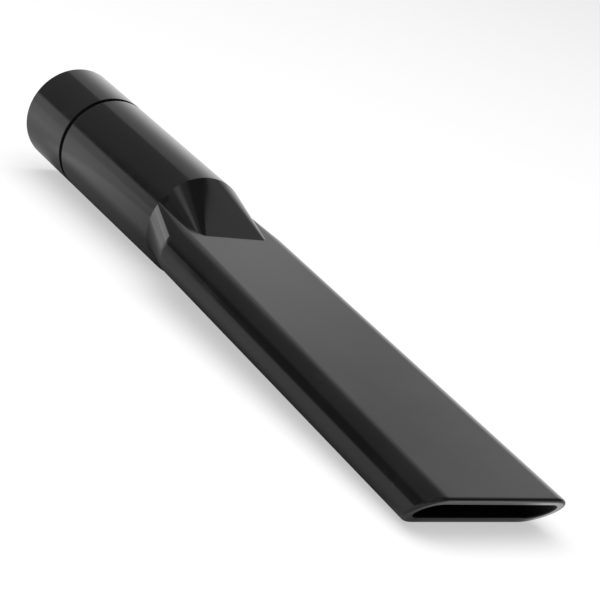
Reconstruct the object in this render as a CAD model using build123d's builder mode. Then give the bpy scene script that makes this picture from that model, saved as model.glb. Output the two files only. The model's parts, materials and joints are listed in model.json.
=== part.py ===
"""Vacuum crevice tool: one hollow moulding that pushes over the end of a 32 mm wand.

While it is drawn, the tube's axis is X. The round tube ends at x = 0, with the collar behind it
and the flat nozzle in front. At the end the tool is laid down as it comes to rest.
Millimetres and degrees.
"""

import os
from math import asin, atan2, cos, degrees, hypot, radians, sin, tan

from build123d import *

# Socket end
bore_diameter = 32.0
bore_clearance = 0.1
socket_wall = 2.0
socket_depth = 60.0
lead_in = 0.8
collar_length = 29.0
groove_width = 1.9
groove_depth = 1.0
groove_lip_chamfer = 0.3
rear_edge_radius = 0.6
tube_length = 68.2

# Nozzle, its lengths measured along the tube's axis from the end of the round tube
nozzle_length = 187.0
flare_length = 21.5
root_width = 48.2
root_height = 16.5
mouth_width = 52.8
mouth_height = 14.8
nozzle_wall = 2.8
droop_angle = 1.26
droop_start = 0.4

# Hump, where the round tube runs out in a straight crease on the flat
hump_length = 24.7
crease_width = 25.4
hump_corner_radius = 1.0
hump_top_angle = 20.0
crease_dip = 0.4

# Mouth
slant_angle = 42.3
rim_radius = 1.0
inner_rim_radius = 0.5
cut_overrun = 6.0
front_length_share = 1.5  # of the mouth's height, the front length that the slanted cut crosses

# Worked out from the sizes above
bore_radius = (bore_diameter + bore_clearance) / 2
tube_radius = bore_radius + socket_wall
throat_radius = tube_radius - nozzle_wall
mouth_start = nozzle_length - front_length_share * mouth_height
groove_front = -tube_length
groove_rear = groove_front - groove_width
rear_end = groove_rear - collar_length
ledge = rear_end + socket_depth


def centre_at(x):
    """Height of the nozzle's middle plane."""
    return -droop_start - x * tan(radians(droop_angle))


def along(root, mouth, x):
    """A size that changes evenly from the end of the flare to the mouth."""
    return root + (mouth - root) * (x - flare_length) / (nozzle_length - flare_length)


def width_at(x):
    return along(root_width, mouth_width, x)


def height_at(x):
    return along(root_height, mouth_height, x)


def top_at(x):
    return centre_at(x) + height_at(x) / 2


def bottom_at(x):
    return centre_at(x) - height_at(x) / 2


def ruled_solid(first, last):
    """Solid whose sides run straight from each edge of one outline to its partner in the other."""
    sides = [Face.make_surface_from_curves(a, b) for a, b in zip(first, last)]
    return Solid(Shell([Face(Wire(first)), *sides, Face(Wire(last))]))


def flat_outline(x, wall):
    """The nozzle's section at x, with fully rounded sides, set in from the outside by a wall."""
    round_radius = height_at(x) / 2 - wall
    half_flat = width_at(x) / 2 - wall - round_radius
    with BuildLine(Plane.YZ.offset(x)):
        right = CenterArc((half_flat, centre_at(x)), round_radius, -90, 180)
        left = CenterArc((-half_flat, centre_at(x)), round_radius, 90, 180)
        top = Line(right @ 1, left @ 0)
        bottom = Line(left @ 1, right @ 0)
    return [line.edge() for line in (right, top, left, bottom)]


def side_angles(radius, wall):
    """Where the side flares' bottom and top lie on the tube's circle."""
    bottom = degrees(asin((bottom_at(0) + wall) / radius))
    top = degrees(asin((top_at(0) - wall) / radius))
    return bottom, top


def barrel_outline(radius, wall):
    """The middle of the tube's circle, as high as the nozzle is there."""
    low, high = side_angles(radius, wall)
    with BuildLine(Plane.YZ):
        right = CenterArc((0, 0), radius, low, high - low)
        left = CenterArc((0, 0), radius, 180 - high, high - low)
        top = Line(right @ 1, left @ 0)
        bottom = Line(left @ 1, right @ 0)
    return [line.edge() for line in (right, top, left, bottom)]


def hump_start(radius, wall):
    """The tube's circle as eight arcs, in turn for a corner and a flat of the hump."""
    low, high = side_angles(radius, wall)
    top = hump_top_angle / 2
    first_half = (high, 90 - top, 90 + top, 180 - high)
    second_half = (180 - low, 270 - top, 270 + top, 360 + low, 360 + high)
    stops = first_half + second_half
    with BuildLine(Plane.YZ):
        arcs = [CenterArc((0, 0), radius, start, end - start) for start, end in zip(stops, stops[1:])]
    return [arc.edge() for arc in arcs]


def hump_end(radius, wall):
    """The rounded rectangle that the hump runs to, just below the nozzle's flats."""
    fall = (radius + wall - top_at(hump_length)) / hump_length
    x = hump_length + crease_dip / fall
    across = crease_width / 2 - wall - hump_corner_radius
    rise = height_at(x) / 2 - wall - crease_dip - hump_corner_radius
    upper = centre_at(x) + rise
    lower = centre_at(x) - rise
    centres = ((across, upper), (-across, upper), (-across, lower), (across, lower))
    with BuildLine(Plane.YZ.offset(x)):
        corners = [
            CenterArc(centre, hump_corner_radius, 90 * turn, 90) for turn, centre in enumerate(centres)
        ]
        flats = [Line(a @ 1, b @ 0) for a, b in zip(corners, corners[1:] + corners[:1])]
    return [line.edge() for pair in zip(corners, flats) for line in pair]


def flattened_tube(radius, wall):
    """Hump, side flares and nozzle, from a circle of the given radius to past the mouth.

    The nozzle is drawn in two lengths, so that the slanted cut crosses only the short front one.
    """
    flat_stops = (flare_length, mouth_start, nozzle_length + cut_overrun)
    outlines = [barrel_outline(radius, wall)] + [flat_outline(x, wall) for x in flat_stops]
    hump = ruled_solid(hump_start(radius, wall), hump_end(radius, wall))
    return [hump] + [ruled_solid(first, last) for first, last in zip(outlines, outlines[1:])]


outer_form = flattened_tube(tube_radius, 0)
air_channel = flattened_tube(throat_radius, nozzle_wall)
mouth_plane = Plane(
    origin=(nozzle_length, 0, top_at(nozzle_length)),
    x_dir=(0, 1, 0),
    z_dir=(cos(radians(slant_angle)), 0, -sin(radians(slant_angle))),
)

with BuildPart() as moulding:
    # Collar, groove and tube, turned about the axis
    with BuildSketch(Plane.XZ) as half_profile:
        with BuildLine():
            Polyline(
                (rear_end, 0),
                (rear_end, tube_radius),
                (groove_rear, tube_radius),
                (groove_rear, tube_radius - groove_depth),
                (groove_front, tube_radius - groove_depth),
                (groove_front, tube_radius),
                (0, tube_radius),
                (0, 0),
                close=True,
            )
        make_face()
        rear_corner = half_profile.vertices().group_by(Axis.Y)[-1].sort_by(Axis.X)[0]
        fillet(rear_corner, radius=rear_edge_radius)
        groove_lips = half_profile.vertices().group_by(Axis.Y)[-1].sort_by(Axis.X)[1:3]
        chamfer(groove_lips, length=groove_lip_chamfer)
    revolve(axis=Axis.X)
    add(outer_form)

    # Socket bore, the ledge that stops the wand, and the air channel
    with BuildSketch(Plane.XZ) as half_core:
        with BuildLine():
            Polyline(
                (rear_end, 0),
                (rear_end, bore_radius + lead_in),
                (rear_end + lead_in, bore_radius),
                (ledge, bore_radius),
                (ledge, throat_radius),
                (0, throat_radius),
                (0, 0),
                close=True,
            )
        make_face()
    revolve(axis=Axis.X, mode=Mode.SUBTRACT)
    add(air_channel, mode=Mode.SUBTRACT)

    # Slanted mouth with a rounded rim
    split(bisect_by=mouth_plane, keep=Keep.BOTTOM)
    across_mouth = Axis(mouth_plane.origin, mouth_plane.z_dir)
    fillet(moulding.faces().sort_by(across_mouth)[-1].outer_wire().edges(), radius=rim_radius)
    lip = moulding.faces().filter_by(across_mouth).sort_by(across_mouth)[-1]
    fillet(lip.inner_wires()[0].edges(), radius=inner_rim_radius)


def lower_rim_centre():
    """Middle of the rounding at the mouth's lower edge, where the tool touches the floor."""
    under_slope = bottom_at(0) - bottom_at(1)
    under_start = bottom_at(0) + rim_radius * hypot(1, under_slope)
    # The line rim_radius inside the slanted face: x cos(slant) - z sin(slant) = reach
    slant = radians(slant_angle)
    reach = nozzle_length * cos(slant) - top_at(nozzle_length) * sin(slant) - rim_radius
    x = (reach + under_start * sin(slant)) / (cos(slant) + under_slope * sin(slant))
    return x, under_start - under_slope * x


# At rest the tool stands on the lowest point of the round tube's end and on the mouth's lower edge
front_x, front_z = lower_rim_centre()
reach = hypot(front_x, front_z + tube_radius)
rest_angle = degrees(atan2(front_z + tube_radius, front_x) - asin(rim_radius / reach))
rest_turn = Rot(0, rest_angle, 0)
floor_z = -tube_radius * cos(radians(rest_angle))
middle_x = (rest_turn * moulding.part).bounding_box().center().X

with BuildPart() as crevice_tool:
    add(Pos(-middle_x, 0, -floor_z) * rest_turn * moulding.part)

crevice_tool.part.label = "crevice_tool"
os.makedirs("parts", exist_ok=True)
export_step(crevice_tool.part, "parts/crevice_tool.step")
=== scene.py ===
"""Vacuum crevice tool, dressed for its picture: one hollow moulding in gloss black plastic.

The moulding is drawn in millimetres with its tube's axis along X and the round tube ending at
x = 0, then laid into the row's frame, in metres, by the place of the wand socket.
"""

import json
from functools import reduce
from math import asin, cos, degrees, hypot, pi, radians, sin, tan

import bpy
from mathutils import Matrix, Vector


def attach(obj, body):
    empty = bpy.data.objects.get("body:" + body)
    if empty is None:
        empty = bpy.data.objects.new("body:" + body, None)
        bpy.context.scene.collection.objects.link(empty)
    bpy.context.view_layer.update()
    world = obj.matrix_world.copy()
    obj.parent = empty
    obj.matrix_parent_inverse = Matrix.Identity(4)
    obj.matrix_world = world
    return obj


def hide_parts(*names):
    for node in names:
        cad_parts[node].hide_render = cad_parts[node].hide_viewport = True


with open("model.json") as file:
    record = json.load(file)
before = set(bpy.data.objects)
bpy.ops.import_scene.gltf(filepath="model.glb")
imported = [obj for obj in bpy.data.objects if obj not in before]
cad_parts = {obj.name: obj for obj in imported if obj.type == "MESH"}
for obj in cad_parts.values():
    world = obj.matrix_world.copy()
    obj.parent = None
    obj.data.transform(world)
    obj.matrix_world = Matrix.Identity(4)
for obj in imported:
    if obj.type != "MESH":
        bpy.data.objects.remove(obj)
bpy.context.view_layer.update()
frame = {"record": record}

MM = 0.001

# Socket end, in millimetres
socket = next(m for m in frame["record"]["mounts"] if m["name"] == "wand_socket")
bore_radius = socket["dims"]["r_mm"]
socket_wall = 2.0
socket_depth = 60.0
lead_in = 0.8
collar_length = 29.0
groove_width = 2.1
groove_depth = 1.0
tube_length = 68.0

# Nozzle
nozzle_length = 187.0
flare_length = 21.5
root_width = 48.2
root_height = 16.5
mouth_width = 52.8
mouth_height = 14.8
nozzle_wall = 2.8
droop_angle = 1.26
droop_start = 0.4

# Hump
hump_length = 24.7
crease_width = 28.6  # before the corners are rounded
hump_corner_radius = 3.0
hump_top_half_angle = 10.0
crease_dip = 0.4

# Side flare: its flat facet runs from a part of the tube's circle to a part of the nozzle's
# rounded side, with a tapering rounding below and above it
fan_angle = 3.0  # of the tube's circle, for each rounding
facet_bottom = -65.0  # on the nozzle's rounded side
facet_top = 40.0

# Mouth
slant_angle = 42.3
rim_radius = 1.0
inner_rim_radius = 0.5
cut_overrun = 6.0  # that the nozzle is drawn past its length, for the cut

# Other edges, and the ridge of the parting line
rear_edge_radius = 0.6
groove_lip_radius = 0.15
flare_edge_radius = 1.2
parting_half_width = 0.16
parting_height = 0.06
parting_end = 105.0
parting_run_out = 1.0  # nearer than this to its end, nothing is raised

# How finely the curves are drawn
facet_steps = 21
fan_steps = 12
corner_steps = 28
half_top_steps = 6
hump_steps = 8
lip_segments = 4
rear_edge_segments = 6
flare_edge_segments = 4
rim_segments = 8

# Slack, in millimetres and degrees
weld = 0.004
cut_slack = 0.0005
plane_slack = 0.005
touch = 0.01
parting_slack = 0.03
skin_depth = 0.5  # less than this below the outside still counts as outside
corner_angle = 9.0  # where the surface turns by less, it is smooth

# Worked out from the sizes above
tube_radius = bore_radius + socket_wall
throat_radius = tube_radius - nozzle_wall
groove_radius = tube_radius - groove_depth
groove_front = -tube_length
groove_rear = groove_front - groove_width
rear_end = groove_rear - collar_length
bore_start = rear_end + lead_in
ledge = rear_end + socket_depth
nozzle_end = nozzle_length + cut_overrun
parting_start = flare_length + 0.5
axis_end = (0, 0, 0)


def centre_at(x):
    """Height of the nozzle's middle plane."""
    return -droop_start - x * tan(radians(droop_angle))


def along(root, mouth, x):
    """A size that changes evenly from the end of the flare to the mouth."""
    return root + (mouth - root) * (x - flare_length) / (nozzle_length - flare_length)


def width_at(x):
    return along(root_width, mouth_width, x)


def height_at(x):
    return along(root_height, mouth_height, x)


def top_at(x):
    return centre_at(x) + height_at(x) / 2


def bottom_at(x):
    return centre_at(x) - height_at(x) / 2


def flat_line(wall, up):
    """Height along the nozzle of its top (up = 1) or bottom (up = -1), set in by the wall."""
    return (lambda x: top_at(x) - wall) if up > 0 else (lambda x: bottom_at(x) + wall)


# ---------------------------------------------------------------- edit-mode helpers


def edit(kind="VERT"):
    bpy.ops.object.mode_set(mode="EDIT")
    bpy.ops.mesh.select_mode(type=kind)


def leave():
    bpy.ops.object.mode_set(mode="OBJECT")


def select_all():
    bpy.ops.mesh.select_all(action="SELECT")


def weld_all():
    select_all()
    bpy.ops.mesh.remove_doubles(threshold=weld)


def pick(kind, test):
    """Go to edit mode with just the vertices or edges selected for which the test holds."""
    leave()
    mesh = bpy.context.object.data
    parts = {"VERT": mesh.vertices, "EDGE": mesh.edges, "FACE": mesh.polygons}
    for part in parts.values():
        part.foreach_set("select", [False] * len(part))
    for one in parts[kind]:
        one.select = test(one)
    edit(kind)


def ends(edge):
    mesh = bpy.context.object.data
    return [mesh.vertices[i].co for i in edge.vertices]


def edges_where(test):
    """Select the edges both of whose ends pass the test."""
    pick("EDGE", lambda edge: all(test(co) for co in ends(edge)))


def add_vertex(place):
    """Shrink a new plane to one selected vertex, and take it to its place."""
    bpy.ops.mesh.merge(type="CENTER")
    bpy.ops.transform.translate(value=place)


def start_piece(name, place):
    """A new object in edit mode, one selected vertex at the place."""
    if bpy.context.object and bpy.context.object.mode == "EDIT":
        leave()
    bpy.ops.object.select_all(action="DESELECT")
    bpy.ops.mesh.primitive_plane_add(size=1.0, location=(0, 0, 0))
    piece = bpy.context.object
    piece.name = name
    edit()
    add_vertex(place)
    return piece


def new_vertex(place):
    """One more loose vertex in the piece, selected on its own."""
    bpy.ops.mesh.select_all(action="DESELECT")
    bpy.ops.mesh.primitive_plane_add(size=1.0, location=(0, 0, 0))
    add_vertex(place)


def sweep(centre, angle, steps):
    """Carry the selected vertex round a centre, from the right side upwards."""
    bpy.ops.mesh.spin(steps=steps, angle=radians(angle), center=centre, axis=(-1, 0, 0))


def draw(offset, steps=1):
    """Carry what is selected along a straight line in equal steps."""
    step = [value / steps for value in offset]
    for _ in range(steps):
        bpy.ops.mesh.extrude_region_move(TRANSFORM_OT_translate={"value": step})


def scale_ring(x, factor):
    bpy.ops.transform.resize(value=(1, factor, factor), center_override=(x, 0, 0))


def step_in(x, radius, new_radius):
    """A flat ring across the axis, from one radius to another."""
    draw((0, 0, 0))
    scale_ring(x, new_radius / radius)


def make_active(first, others=()):
    leave()
    bpy.ops.object.select_all(action="DESELECT")
    for piece in (*others, first):
        piece.select_set(True)
    bpy.context.view_layer.objects.active = first


def join(first, others):
    make_active(first, others)
    bpy.ops.object.join()
    edit()
    weld_all()


def add_modifier(piece, name, kind, **settings):
    modifier = piece.modifiers.new(name, kind)
    for key, value in settings.items():
        setattr(modifier, key, value)
    bpy.ops.object.modifier_apply(modifier=modifier.name)


def mirror(piece):
    make_active(piece)
    sides = {"use_axis": (False, True, False), "use_clip": True, "merge_threshold": weld}
    add_modifier(piece, "Left half", "MIRROR", **sides)


def face_normals_by_edge(mesh):
    found = {}
    for face in mesh.polygons:
        for key in face.edge_keys:
            found.setdefault(key, []).append(face.normal.copy())
    return found


def turn_at(edge, normals):
    """The angle that the surface turns through at an edge, 0 where the edge is open."""
    pair = normals.get(edge.key, [])
    return pair[0].angle(pair[1], 0) if len(pair) == 2 else 0


# ---------------------------------------------------------------- where a point lies


def near(value, target, slack=touch):
    return abs(value - target) < slack


def radius_of(co):
    return hypot(co.y, co.z)


def on_tube(co):
    return near(radius_of(co), tube_radius)


def on_side(co):
    """Whether a point of the nozzle lies on its rounded outer side."""
    half_height = height_at(co.x) / 2
    past_flat = abs(co.y) - (width_at(co.x) / 2 - half_height)
    return hypot(max(past_flat, 0), co.z - centre_at(co.x)) > half_height - skin_depth


def inner(co):
    """Whether a point is on the air channel or the bore rather than on the outside."""
    if co.x < 0:
        return radius_of(co) < groove_radius - skin_depth
    below_top = top_at(co.x) - co.z > skin_depth
    over_bottom = co.z - bottom_at(co.x) > skin_depth
    return below_top and over_bottom and not on_side(co)


def on_parting(co, slack=parting_slack):
    """Whether a point lies on the parting line, along the middle of a side."""
    at_side = near(abs(co.y), width_at(co.x) / 2, parting_slack)
    at_middle = near(co.z, centre_at(co.x), slack)
    return at_side and at_middle and parting_start < co.x < parting_end + touch


# ---------------------------------------------------------------- the flattened tube


def side_angles(radius, wall):
    """Where the side flares' bottom and top lie on the tube's circle."""
    bottom = degrees(asin((bottom_at(0) + wall) / radius))
    top = degrees(asin((top_at(0) - wall) / radius))
    return bottom, top


def sweep_side(centre, *stops):
    """Carry the selected vertex round a side in three runs: a rounding, the facet, a rounding."""
    for steps, start, end in zip((fan_steps, facet_steps, fan_steps), stops, stops[1:]):
        sweep(centre, end - start, steps)


def on_circle(x, radius, angle):
    return (x, radius * cos(radians(angle)), radius * sin(radians(angle)))


def draw_half_ring(name, radius, wall):
    """The right half of the tube's circle at x = 0, with a vertex at each one of the nozzle."""
    low, high = side_angles(radius, wall)
    top = hump_top_half_angle
    piece = start_piece(name, on_circle(0, radius, -90))
    sweep(axis_end, top, half_top_steps)
    sweep(axis_end, 90 + low - top, corner_steps)
    sweep_side(axis_end, low, low + fan_angle, high - fan_angle, high)
    sweep(axis_end, 90 - top - high, corner_steps)
    sweep(axis_end, top, half_top_steps)
    return piece


def draw_side(name, radius, wall):
    """The right flare and the right side of the nozzle, bridged from outline to outline."""
    low, high = side_angles(radius, wall)
    piece = start_piece(name, on_circle(0, radius, low))
    sweep_side(axis_end, low, low + fan_angle, high - fan_angle, high)
    for x in (flare_length, nozzle_end):
        round_radius = height_at(x) / 2 - wall
        half_flat = width_at(x) / 2 - wall - round_radius
        new_vertex((x, half_flat, bottom_at(x) + wall))
        sweep_side((x, half_flat, centre_at(x)), -90, facet_bottom, facet_top, 90)
    for first, last in ((0, flare_length), (flare_length, nozzle_end)):
        edges_where(lambda co: near(co.x, first) or near(co.x, last))
        bpy.ops.mesh.bridge_edge_loops()
    return piece


def draw_hump(name, radius, wall, up):
    """Half of the hump above (up = 1) or below (up = -1), cut off where it meets the flat."""
    low, high = side_angles(radius, wall)
    side = high if up > 0 else -low
    top = hump_top_half_angle
    fall = (radius + wall - top_at(hump_length)) / hump_length
    x = hump_length + crease_dip / fall
    across = crease_width / 2 - wall - hump_corner_radius
    rise = up * (height_at(x) / 2 - wall - crease_dip - hump_corner_radius)
    corner = (x, across, centre_at(x) + rise)

    piece = start_piece(name, on_circle(0, radius, up * side))
    sweep(axis_end, up * (90 - top - side), corner_steps)
    sweep(axis_end, up * top, half_top_steps)
    new_vertex((x, across + hump_corner_radius, corner[2]))
    sweep(corner, up * 90, corner_steps)
    draw((0, -across, 0), half_top_steps)
    select_all()
    bpy.ops.mesh.bridge_edge_loops(number_cuts=hump_steps - 1, interpolation="LINEAR")

    flat_at = flat_line(wall, up)
    slope = flat_at(1) - flat_at(0)
    select_all()
    bpy.ops.mesh.bisect(
        plane_co=(0, 0, flat_at(0)),
        plane_no=(-slope, 0, 1),
        clear_inner=up > 0,
        clear_outer=up < 0,
        threshold=cut_slack,
    )
    return piece


def flattened_tube(name, radius, wall):
    """The right half of humps, flare and nozzle, for the outside (wall 0) or the air channel."""
    side = draw_side(name, radius, wall)
    join(side, [draw_hump(name + "_hump", radius, wall, up) for up in (1, -1)])
    return side


def fill_flats(piece, wall):
    """The nozzle's top and bottom, each one face round the foot of its hump."""
    for up in (1, -1):
        flat_at = flat_line(wall, up)
        on_flat = lambda co: near(co.z, flat_at(co.x), plane_slack)
        pick("VERT", lambda v: near(v.co.x, nozzle_end) and on_flat(v.co))
        bpy.ops.mesh.edge_face_add()
        leave()
        faces = face_normals_by_edge(piece.data)
        is_open = lambda edge: len(faces.get(edge.key, [])) < 2
        pick("EDGE", lambda edge: is_open(edge) and all(on_flat(co) for co in ends(edge)))
        bpy.ops.mesh.edge_face_add()
    leave()


# ---------------------------------------------------------------- the moulding

# Outside: the nozzle with its humps. The tube is drawn back from its end through the groove to
# the rear, then turned in through the lead-in and the bore to the ledge that stops the wand.
moulding = flattened_tube("crevice_tool_moulding", tube_radius, 0)
tube = draw_half_ring("tube", tube_radius, 0)
edit("EDGE")
select_all()
draw((groove_front, 0, 0))
step_in(groove_front, tube_radius, groove_radius)
draw((-groove_width, 0, 0))
step_in(groove_rear, groove_radius, tube_radius)
draw((-collar_length, 0, 0))
step_in(rear_end, tube_radius, bore_radius + lead_in)
draw((lead_in, 0, 0))
scale_ring(bore_start, bore_radius / (bore_radius + lead_in))
draw((ledge - bore_start, 0, 0))
step_in(ledge, bore_radius, throat_radius)
join(moulding, [tube])
mirror(moulding)
fill_flats(moulding, 0)

# Inside: the air channel, joined to the ledge's inner edge
channel = flattened_tube("air_channel", throat_radius, nozzle_wall)
mirror(channel)
fill_flats(channel, nozzle_wall)
join(moulding, [channel])
edges_where(
    lambda co: near(radius_of(co), throat_radius) and (near(co.x, ledge) or near(co.x, 0))
)
bpy.ops.mesh.bridge_edge_loops()

# Slanted mouth: one plane cuts both, and a face joins the two rims
slant = radians(slant_angle)
mouth_point = Vector((nozzle_length, 0, top_at(nozzle_length)))
mouth_normal = Vector((cos(slant), 0, -sin(slant)))


def on_mouth(co):
    return abs((co - mouth_point).dot(mouth_normal)) < plane_slack


select_all()
bpy.ops.mesh.bisect(
    plane_co=mouth_point, plane_no=mouth_normal, clear_outer=True, threshold=cut_slack
)
edges_where(on_mouth)
bpy.ops.mesh.bridge_edge_loops()
weld_all()
bpy.ops.mesh.normals_make_consistent(inside=False)
leave()


def bevel_edges(test, radius, segments):
    """Round the edges both of whose ends pass the test, where two faces really meet at an angle."""
    normals = face_normals_by_edge(moulding.data)
    is_corner = lambda edge: turn_at(edge, normals) >= radians(corner_angle)
    pick("EDGE", lambda edge: is_corner(edge) and all(test(co) for co in ends(edge)))
    bpy.ops.mesh.bevel(
        offset=radius, offset_type="OFFSET", segments=segments, affect="EDGES", clamp_overlap=False
    )
    leave()


in_groove = lambda co: near(co.x, groove_front) or near(co.x, groove_rear)
bevel_edges(lambda co: on_tube(co) and in_groove(co), groove_lip_radius, lip_segments)
bevel_edges(lambda co: on_tube(co) and near(co.x, rear_end), rear_edge_radius, rear_edge_segments)
bevel_edges(
    lambda co: near(co.x, flare_length) and not inner(co), flare_edge_radius, flare_edge_segments
)

# Parting line: a fine raised line along both sides, highest behind the flare and gone at its end
edit()
weld_all()
bpy.ops.mesh.bisect(plane_co=(parting_end, 0, 0), plane_no=(1, 0, 0), threshold=cut_slack)
edges_where(on_parting)
bpy.ops.mesh.bevel(offset=parting_half_width, segments=2, affect="EDGES", clamp_overlap=False)
pick("VERT", lambda v: on_parting(v.co, touch) and v.co.x < parting_end - parting_run_out)
raised = 1 + parting_height / (width_at(flare_length) / 2)
bpy.ops.transform.resize(value=(1, raised, 1), center_override=(0, 0, 0))
leave()

# The two rims of the mouth. A rounding's width on each side is its radius times the tangent of
# half the angle that the surface turns through, so the slanted rim needs a width that varies.
normals = face_normals_by_edge(moulding.data)
widths = {}
for edge in moulding.data.edges:
    turn = turn_at(edge, normals)
    if turn > radians(corner_angle) and all(on_mouth(co) for co in ends(edge)):
        radius = inner_rim_radius if all(inner(co) for co in ends(edge)) else rim_radius
        widths[edge.index] = radius * tan(turn / 2)
widest = max(widths.values())
weights = moulding.data.attributes.new("bevel_weight_edge", "FLOAT", "EDGE")
for index, width in widths.items():
    weights.data[index].value = width / widest
rims = {"limit_method": "WEIGHT", "width": widest, "segments": rim_segments}
add_modifier(moulding, "Rounded rims", "BEVEL", use_clamp_overlap=False, **rims)

# Laid into the row's frame by the socket's place, in metres
lay_down = (-Vector(socket["axis"])).to_track_quat("X", "Z").to_matrix().to_4x4()
socket_middle = Vector(((bore_start + ledge) / 2, 0, 0))
place = Matrix.Translation(socket["pos_m"]) @ lay_down @ Matrix.Scale(MM, 4)
place = place @ Matrix.Translation(-socket_middle)
moulding.data.transform(place)
bpy.ops.object.shade_smooth_by_angle(angle=radians(corner_angle))
strong_faces = 80  # over 50, the larger faces count for more
add_modifier(moulding, "Even shading", "WEIGHTED_NORMAL", keep_sharp=True, weight=strong_faces)

# ---------------------------------------------------------------- material


class Nodes:
    """Shorthands for building one node tree."""

    def __init__(self, tree):
        self.tree = tree

    def link(self, value, socket):
        """Set a socket from a number or a vector, or from another node's output."""
        if isinstance(value, bpy.types.NodeSocket):
            self.tree.links.new(value, socket)
        else:
            socket.default_value = value

    def add(self, kind, inputs=None, **settings):
        """A new node with its settings and its inputs, by name or by number."""
        node = self.tree.nodes.new("ShaderNode" + kind)
        for name, value in settings.items():
            setattr(node, name, value)
        for name, value in (inputs or {}).items():
            self.link(value, node.inputs[name])
        return node

    def maths(self, operation, first, second=0.0):
        return self.add("Math", {0: first, 1: second}, operation=operation).outputs[0]

    def product(self, *factors):
        return reduce(lambda a, b: self.maths("MULTIPLY", a, b), factors)

    def total(self, *terms):
        return reduce(lambda a, b: self.maths("ADD", a, b), terms)

    def length(self, first, second):
        """The length of a vector with these two parts, at right angles."""
        squares = self.total(self.product(first, first), self.product(second, second))
        return self.maths("SQRT", squares)

    def vector_maths(self, operation, first, second):
        node = self.add("VectorMath", {0: first, 1: second}, operation=operation)
        return node.outputs["Value"]

    def split(self, vector):
        return self.add("SeparateXYZ", {0: vector}).outputs

    def place(self, vector, location, rotation=(0, 0, 0), scale=(1, 1, 1)):
        inputs = {"Vector": vector, "Location": location, "Rotation": rotation, "Scale": scale}
        return self.add("Mapping", inputs).outputs[0]

    def ramp(self, value, start, end, low, high):
        """A value that goes smoothly from low to high as another goes from start to end."""
        limits = {"From Min": start, "From Max": end, "To Min": low, "To Max": high}
        settings = {"interpolation_type": "SMOOTHSTEP"}
        return self.add("MapRange", {"Value": value, **limits}, **settings).outputs["Result"]

    def blend(self, below, above, mask):
        inputs = {"Factor": mask, "A": below, "B": above}
        return self.add("Mix", inputs, data_type="FLOAT").outputs["Result"]


plastic = bpy.data.materials.new("black_plastic_gloss")
plastic.use_nodes = True
skin = Nodes(plastic.node_tree)
shader = plastic.node_tree.nodes["Principled BSDF"]
shader.inputs["IOR"].default_value = 1.5

# Places on the moulding, in millimetres on the axes that it was drawn on
back = place.inverted()
on_object = skin.add("TexCoord").outputs["Object"]
drawing = skin.place(on_object, back.translation, back.to_euler(), (1 / MM, 1 / MM, 1 / MM))
along_axis, across_axis, height = skin.split(drawing)


def noise(scale, stretch=(1, 1, 1), detail=2.0, roughness=0.5, shift=0.0):
    """Noise with so many features to a millimetre, squeezed along each axis by the stretch."""
    shifted = skin.place(drawing, (shift, shift, shift), scale=stretch)
    inputs = {"Vector": shifted, "Scale": scale, "Detail": detail, "Roughness": roughness}
    return skin.add("TexNoise", inputs).outputs["Fac"]


def spot_at(point, size):
    """Mask of a small knock, full at the point and gone at its size."""
    return skin.ramp(skin.vector_maths("DISTANCE", drawing, point), 0.1, size, 1, 0)


def along_nozzle(size_at):
    """A node for a size that changes evenly along the nozzle."""
    return skin.total(skin.product(along_axis, size_at(1) - size_at(0)), size_at(0))


# Height over the middle plane, where the two halves of the mould part
on_nozzle = skin.maths("GREATER_THAN", along_axis, 0)
drop = skin.product(skin.maths("SUBTRACT", 0, along_nozzle(centre_at)), on_nozzle)
over_middle = skin.maths("ABSOLUTE", skin.total(height, drop))

# The walls inside are satin, as the core pins leave them, and their colour is darker: painted
# shade in the hollow. In the nozzle they are found by the depth below the outside, except in the
# flare, where only what lies inside the tube counts.
in_tube = skin.ramp(
    skin.length(across_axis, height), bore_radius + 0.3, bore_radius + 0.5, 1, 0
)
half_flat = along_nozzle(lambda x: (width_at(x) - height_at(x)) / 2)
past_flat = skin.maths("SUBTRACT", skin.maths("ABSOLUTE", across_axis), half_flat)
from_middle = skin.length(skin.maths("MAXIMUM", past_flat, 0), over_middle)
depth = skin.maths("SUBTRACT", along_nozzle(lambda x: height_at(x) / 2), from_middle)
in_nozzle = skin.ramp(depth, nozzle_wall - 0.2, nozzle_wall - 0.05, 0, 1)
past_flare = skin.maths("GREATER_THAN", along_axis, flare_length + 3)
in_nozzle = skin.product(in_nozzle, skin.maths("MAXIMUM", past_flare, in_tube))
satin_and_shade = skin.blend(in_tube, in_nozzle, on_nozzle)

# The parting line is painted lighter, a painted highlight along its ridge: clearest behind the
# flare, fading forward, faint at the tube's end
parting = skin.ramp(over_middle, 0.03, 0.16, 1, 0)
on_nozzle_side = skin.product(
    skin.ramp(along_axis, 20, 24, 0, 1), skin.ramp(along_axis, 24, 90, 0.7, 0.15)
)
clearness = skin.maths("MAXIMUM", on_nozzle_side, skin.ramp(along_axis, -4, 0, 0.25, 0))
parting = skin.product(parting, clearness, skin.ramp(noise(0.06), 0.3, 0.6, 0.5, 1))

# Rubbed lines run along the tool in patches. The knocks are two small dents near the mouth.
rubbed = skin.product(
    skin.ramp(noise(1.1, (0.03, 1, 1), detail=3.0), 0.66, 0.72, 0, 1),
    skin.ramp(noise(0.05, shift=40.0), 0.5, 0.62, 0, 1),
)
marks = {
    "waves": noise(0.035, (0.4, 1, 1), detail=1.0),
    "grain": noise(2.2, detail=3.0, roughness=0.6),
    "rubbed": rubbed,
    "knocks": skin.total(
        spot_at((149.0, -23.4, -9.3), 0.9), spot_at((169.0, -26.0, -2.6), 0.8)
    ),
    "handled": skin.ramp(
        noise(0.045, detail=4.0, roughness=0.6, shift=15.0), 0.42, 0.68, 0, 1
    ),
    "parting": parting,
}


def sum_of_marks(amounts):
    return skin.total(*(skin.product(marks[name], amount) for name, amount in amounts.items()))


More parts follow.
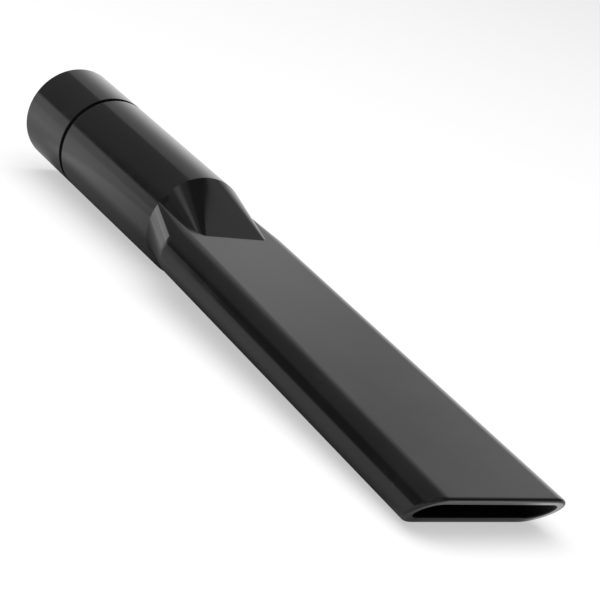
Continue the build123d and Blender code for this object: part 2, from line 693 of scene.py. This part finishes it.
# What each mark does to the surface in millimetres, to its gloss and to its colour
relief = sum_of_marks({"waves": 0.07, "grain": 0.0012, "rubbed": -0.0015, "knocks": -0.05})
dulling = {"handled": 0.06, "grain": 0.02, "rubbed": 0.06, "knocks": 0.2, "parting": 0.05}
# on the parting line the lightening is a painted highlight along its ridge
lightening = {"handled": 0.0012, "parting": 0.012, "rubbed": 0.004, "knocks": 0.006}
gloss_roughness = 0.095
satin_roughness = 0.85
gloss_tone = 0.005
# darker colour of the walls inside: painted shade in the hollow
inner_painted_shade_tone = 0.0035
blue_tint = 1.06

bump = skin.add("Bump", {"Strength": 1.0, "Distance": MM, "Height": relief})
roughness = skin.total(sum_of_marks(dulling), gloss_roughness)
tone = skin.total(sum_of_marks(lightening), gloss_tone)
# the walls inside take the darker colour, painted shade in the hollow
tone = skin.blend(tone, inner_painted_shade_tone, satin_and_shade)
channels = {"Red": tone, "Green": tone, "Blue": skin.product(tone, blue_tint)}
skin.link(bump.outputs[0], shader.inputs["Normal"])
skin.link(skin.blend(roughness, satin_roughness, satin_and_shade), shader.inputs["Roughness"])
skin.link(skin.add("CombineColor", channels).outputs[0], shader.inputs["Base Color"])
moulding.data.materials.clear()
moulding.data.materials.append(plastic)

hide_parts("crevice_tool")
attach(moulding, "root")

# ---------------------------------------------------------------- the room

scene = bpy.context.scene
scene.view_settings.view_transform = "Standard"

# The studio around the part, as a soft sky. Turn goes round from +X through +Y, rise is upwards,
# both in degrees.
studio = bpy.data.worlds.new("studio")
scene.world = studio
studio.use_nodes = True
sky = Nodes(studio.node_tree)
east, north, up = sky.split(sky.add("TexCoord").outputs["Generated"])
rise = sky.product(sky.maths("ARCSINE", up), degrees(1))
turn = sky.maths("ARCTAN2", sky.product(north, -1), sky.product(east, -1))
turn = sky.total(sky.product(turn, degrees(1)), 180)

# The wall's light falls off upwards, and a seam in its middle is a little darker
wall_middle = 139
from_seam = sky.maths("ABSOLUTE", sky.maths("SUBTRACT", turn, wall_middle))
wall = sky.product(sky.ramp(rise, 11, 34, 1.15, 0.52), sky.ramp(from_seam, 0, 5, 0.8, 1))

# The room's own light, then each window's light, its two ends in turn and in rise, and how soft
# each of these edges is. Later windows cover earlier ones.
room_light = 0.2
windows = (
    # dark front half of the room, a grey ceiling panel beside it, and the dark gap after that
    (0.02, (-10, 112), (3, 80), (8, 6), (3, 10)),
    (0.45, (108, 121), (40, 75), (8, 3), (10, 10)),
    (0.015, (121, 192), (54, 80), (3, 16), (8, 10)),
    # long white wall behind
    (wall, (100, 169.5), (-20, 39), (20, 1.5), (2, 9)),
    # soft lamp
    (0.95, (212, 222), (46, 58), (9, 9), (9, 9)),
    # black card
    (0.04, (213, 228), (3, 31), (7, 5), (2, 8)),
    # white sweep at the far end of the table, and its dimmer side
    (1.45, (176, 206), (-20, 12.5), (6, 8), (2, 2)),
    (0.85, (202, 217), (-20, 11.5), (6, 3), (2, 4)),
)


def window(turns, rises, soft_turns, soft_rises):
    """Mask of a soft-edged window in the sky."""
    edges = []
    for value, stops, softs in ((turn, turns, soft_turns), (rise, rises, soft_rises)):
        for stop, soft, low in zip(stops, softs, (0, 1)):
            edges.append(sky.ramp(value, stop - soft / 2, stop + soft / 2, low, 1 - low))
    return sky.product(*edges)


mirrored_room = room_light
for shine, *edges in windows:
    mirrored_room = sky.blend(mirrored_room, shine, window(*edges))

# Only the gloss mirrors this room. Matt surfaces are lit evenly from all round, and the camera
# sees white.
even_light = 0.45
ray = sky.add("LightPath").outputs
light = sky.blend(even_light, mirrored_room, ray["Is Glossy Ray"])
light = sky.blend(light, 1.0, ray["Is Camera Ray"])
sky.link(light, studio.node_tree.nodes["Background"].inputs["Color"])

# White paper floor
floor_size = 6.0
bpy.ops.object.select_all(action="DESELECT")
bpy.ops.mesh.primitive_plane_add(size=floor_size, location=(0, 0, 0))
floor = bpy.context.object
floor.name = "floor"
paper = bpy.data.materials.new("white_paper")
paper.use_nodes = True
sheet = Nodes(paper.node_tree)
matt = paper.node_tree.nodes["Principled BSDF"]
for name, value in {
    "Base Color": (0.39, 0.39, 0.39, 1),
    "Emission Color": (1, 1, 1, 1),
    "Emission Strength": 0.5,
    "Roughness": 0.9,
    "Specular IOR Level": 0.0,
}.items():
    matt.inputs[name].default_value = value

# What the gloss mirrors of it is greyer, with light and shade painted in: brighter towards the
# far left, a painted shadow close beside collar and tube, a painted pool of light under the mouth,
# and painted shade again where the part keeps the sky off it. Places and lengths are in metres.
far_left = (-0.616, 0.788, 0)
pool_middle = (0.135, 0.006, 0)
shade_reach = 0.1
shade_power = 1.6
on_floor = sheet.add("TexCoord").outputs["Object"]
along_part, across_part, _ = sheet.split(on_floor)
off_axis = sheet.maths("ABSOLUTE", across_part)
# painted shadow close beside collar and tube
by_collar = sheet.ramp(off_axis, 0.012, 0.06, 0.5, 1)
by_tube = sheet.ramp(off_axis, 0.018, 0.034, 0.62, 1.3)
beside = sheet.blend(by_collar, by_tube, sheet.ramp(along_part, -0.165, -0.135, 0, 1))
beside = sheet.blend(1.0, beside, sheet.ramp(along_part, -0.25, -0.19, 0, 1))
to_far_left = sheet.vector_maths("DOT_PRODUCT", on_floor, far_left)
paper_light = sheet.product(sheet.ramp(to_far_left, -0.005, 0.062, 0.45, 0.98), beside)
from_pool = sheet.vector_maths("DISTANCE", on_floor, pool_middle)
# painted pool of light under the mouth
pool = sheet.ramp(from_pool, 0.016, 0.036, 2.2, 0)
open_sky = sheet.add("AmbientOcclusion", {"Distance": shade_reach}, samples=8).outputs["AO"]
open_sky = sheet.maths("POWER", open_sky, shade_power)
mirrored_floor = sheet.product(sheet.total(paper_light, pool), open_sky)
glow = sheet.add("Emission", {"Strength": mirrored_floor})
is_glossy = sheet.add("LightPath").outputs["Is Glossy Ray"]
seen = sheet.add("MixShader", {0: is_glossy, 1: matt.outputs[0], 2: glow.outputs[0]})
sheet.link(seen.outputs[0], paper.node_tree.nodes["Material Output"].inputs["Surface"])
floor.data.materials.append(paper)

# Soft box overhead, unseen by camera and gloss
lamp_size = 1.4
lamp_radiance = 2.4
lamp = bpy.data.lights.new("overhead", "AREA")
lamp.shape = "SQUARE"
lamp.size = lamp_size
lamp.energy = lamp_radiance * lamp_size**2 * pi
soft_box = bpy.data.objects.new("overhead", lamp)
scene.collection.objects.link(soft_box)
soft_box.location = (0.05, -0.15, 0.9)
soft_box.rotation_euler = (-soft_box.location).to_track_quat("-Z", "Y").to_euler()
soft_box.visible_camera = False
soft_box.visible_glossy = False

camera_data = bpy.data.cameras.new("camera")
camera_data.sensor_width = 36.0
camera_data.lens = 141.39
camera = bpy.data.objects.new("camera", camera_data)
scene.collection.objects.link(camera)
camera.location = (0.588111, -0.41316, 0.247116)
camera.rotation_euler = [radians(a) for a in (71.4055, -15.5857, 58.8683)]
scene.camera = camera
